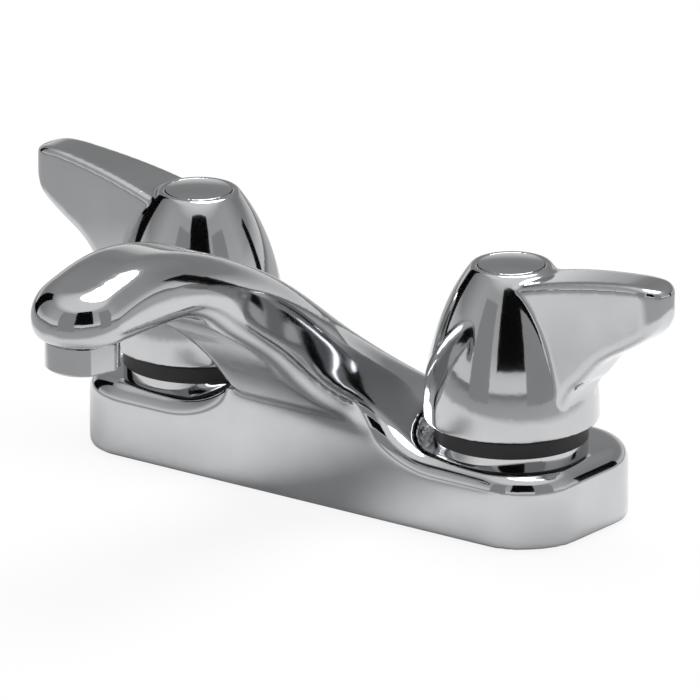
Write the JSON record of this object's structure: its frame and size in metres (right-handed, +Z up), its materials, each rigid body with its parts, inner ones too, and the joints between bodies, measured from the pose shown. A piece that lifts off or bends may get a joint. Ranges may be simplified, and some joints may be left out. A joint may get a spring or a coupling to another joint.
{
  "type": "centerset bathroom faucet",
  "caption": "Chrome centerset basin faucet: one cast deck plate and arched spout, wing-handled quarter-turn valves, threaded inlet shanks and an aerator.",
  "frame": {"origin": "on the gasket face that lies on the sink deck, midway between the two valve axes", "axes": "+X to the cold handle on the user's right, -Y forward over the basin along the spout, +Z up"},
  "size_m": [0.204, 0.1565, 0.141],
  "materials": {
    "chrome_plate": "polished chrome plate",
    "turned_brass": "turned brass",
    "zinc_steel": "zinc plated",
    "stainless_steel": "stainless",
    "black_rubber": "moulded rubber",
    "alumina_ceramic": "lapped",
    "white_acetal": "moulded"
  },
  "bodies": {
    "root": {"spout_body": "chrome_plate", "deck_gasket": "black_rubber", "aerator_housing": "chrome_plate", "aerator_seal": "black_rubber", "aerator_insert": "white_acetal", "aerator_screen": "stainless_steel", "hot_inlet_shank": "turned_brass", "hot_shank_washer": "zinc_steel", "hot_locknut": "turned_brass", "hot_trim_collar": "black_rubber", "hot_seat_seal": "black_rubber", "hot_lower_disc": "alumina_ceramic", "hot_cartridge_housing": "turned_brass", "hot_housing_ring": "black_rubber", "hot_retaining_nut": "turned_brass", "cold_inlet_shank": "turned_brass", "cold_shank_washer": "zinc_steel", "cold_locknut": "turned_brass", "cold_trim_collar": "black_rubber", "cold_seat_seal": "black_rubber", "cold_lower_disc": "alumina_ceramic", "cold_cartridge_housing": "turned_brass", "cold_housing_ring": "black_rubber", "cold_retaining_nut": "turned_brass"},
    "hot_lever": {"hot_handle": "chrome_plate", "hot_stem": "turned_brass", "hot_stem_ring": "black_rubber", "hot_stem_clip": "stainless_steel", "hot_upper_disc": "alumina_ceramic", "hot_handle_screw": "stainless_steel", "hot_index_button": "chrome_plate"},
    "cold_lever": {"cold_handle": "chrome_plate", "cold_stem": "turned_brass", "cold_stem_ring": "black_rubber", "cold_stem_clip": "stainless_steel", "cold_upper_disc": "alumina_ceramic", "cold_handle_screw": "stainless_steel", "cold_index_button": "chrome_plate"}
  },
  "joints": [
    {"name": "hot_lever_turn", "type": "hinge", "parent": "root", "child": "hot_lever", "pos_m": [-0.0508, 0, 0], "axis": [0, 0, 1], "range_deg": [0, 90]},
    {"name": "cold_lever_turn", "type": "hinge", "parent": "root", "child": "cold_lever", "pos_m": [0.0508, 0, 0], "axis": [0, 0, 1], "range_deg": [-90, 0]}
  ]
}
